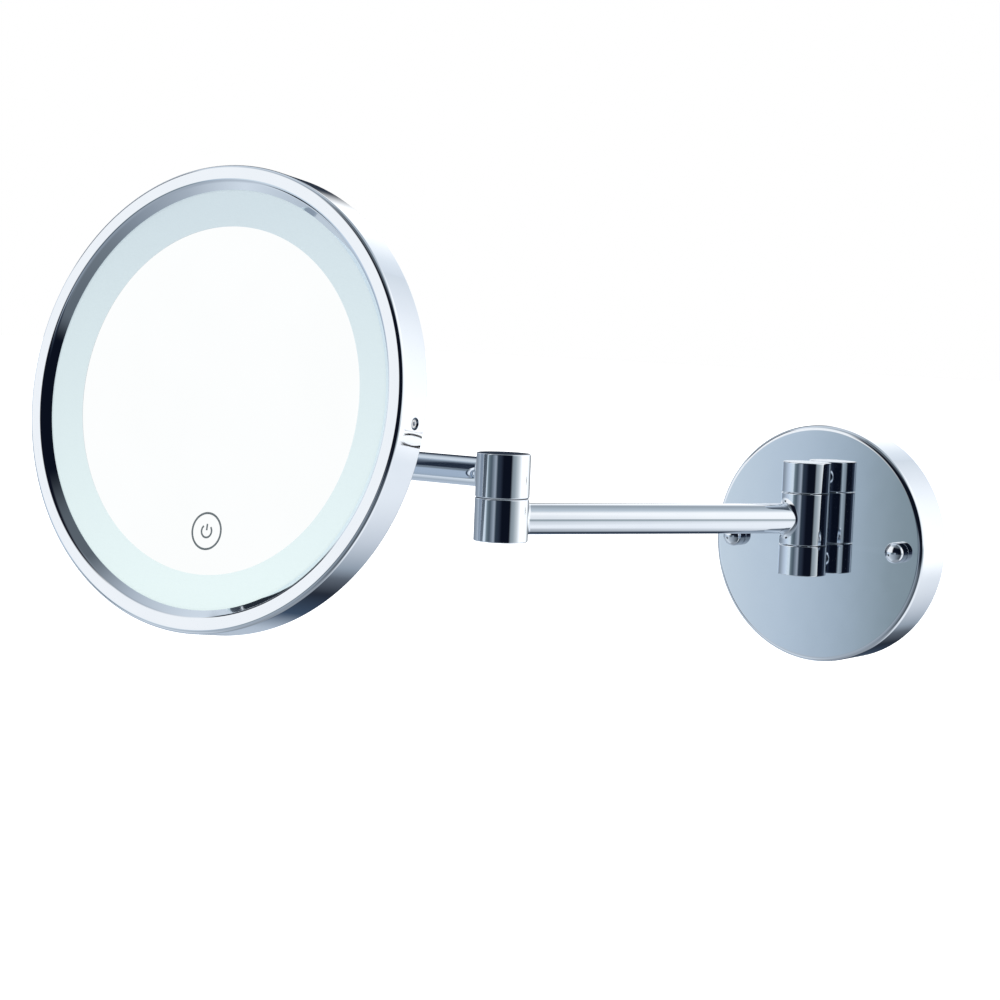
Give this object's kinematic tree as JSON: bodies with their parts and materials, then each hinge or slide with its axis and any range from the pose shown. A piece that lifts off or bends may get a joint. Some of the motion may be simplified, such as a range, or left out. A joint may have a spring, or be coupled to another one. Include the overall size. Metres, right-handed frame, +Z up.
{
  "type": "extendable shaving mirror",
  "caption": "Wall-hung shaving mirror: a round head with a lit rim on a double swing arm, a round wall cup and a ball joint behind the head.",
  "frame": {"origin": "middle of the wall bracket's back face, on the wall plane", "axes": "+Z up, +Y into the wall, so the mirror stands out along -Y, +X to the right of someone facing the wall"},
  "size_m": [0.3876, 0.2674, 0.2362],
  "materials": {
    "chrome": "bright polished chrome plate on brass",
    "mirror_glass": "silvered mirror glass with a frosted, lit band near its edge",
    "screw_steel": "plain stainless steel",
    "zinc_plate": "zinc-plated pressed steel",
    "brass": "plain turned brass",
    "nylon": "natural nylon",
    "white_plastic": "moulded white case of the lamp driver",
    "opal": "opal acrylic, lit from behind",
    "white_board": "white circuit board with lamps",
    "green_board": "green circuit board",
    "rubber": "black rubber band",
    "wire_sheath": "black wire sheath"
  },
  "bodies": {
    "wall_mount": {"wall_bracket": "zinc_plate", "canopy": "chrome", "canopy_stud_left": "screw_steel", "canopy_stud_right": "screw_steel", "cap_nut_left": "chrome", "cap_nut_right": "chrome", "lower_ear": "chrome", "upper_ear": "chrome", "ear_screw": "screw_steel", "nipple_nut": "brass", "wall_washer_lower": "nylon", "wall_washer_upper": "nylon", "led_driver": "white_plastic", "terminal_block": "nylon", "canopy_wire": "wire_sheath"},
    "arm_one": {"wall_knuckle": "chrome", "arm_one_tube": "chrome", "elbow_lower_barrel": "chrome", "elbow_washer": "nylon", "elbow_pivot": "brass", "arm_one_wire": "wire_sheath"},
    "arm_two": {"elbow_upper_barrel": "chrome", "elbow_grub_screw": "screw_steel", "arm_two_tube": "chrome", "wrist_post": "chrome", "wrist_cap": "chrome", "arm_two_wire": "wire_sheath", "ball_stud": "screw_steel"},
    "swivel": {"ball_liner": "nylon"},
    "head": {"ball_socket": "chrome", "socket_ring": "chrome", "socket_screw_1": "screw_steel", "socket_screw_2": "screw_steel", "socket_screw_3": "screw_steel", "rear_cover": "chrome", "head_ring": "chrome", "side_screw_1": "screw_steel", "side_screw_2": "screw_steel", "side_screw_3": "screw_steel", "side_screw_4": "screw_steel", "mirror_glass": "mirror_glass", "glass_seal": "rubber", "light_diffuser": "opal", "led_board": "white_board", "backing_plate": "zinc_plate", "touch_board": "green_board", "head_wire": "wire_sheath"}
  },
  "joints": [
    {"name": "wall_swing", "type": "hinge", "parent": "wall_mount", "child": "arm_one", "pos_m": [0, -0.0368, 0], "axis": [0, 0, 1], "range_deg": [-58, 111]},
    {"name": "elbow_swing", "type": "hinge", "parent": "arm_one", "child": "arm_two", "pos_m": [-0.07496, -0.18715, 0], "axis": [0, 0, 1], "range_deg": [-90, 150]},
    {"name": "head_pan", "type": "hinge", "parent": "arm_two", "child": "swivel", "pos_m": [-0.21495, -0.21845, 0.059], "axis": [0, 0, 1], "range_deg": [-30, 6]},
    {"name": "head_tilt", "type": "hinge", "parent": "swivel", "child": "head", "pos_m": [-0.21495, -0.21845, 0.059], "axis": [0.9938, 0.1115, 0], "range_deg": [-25, 17]}
  ]
}
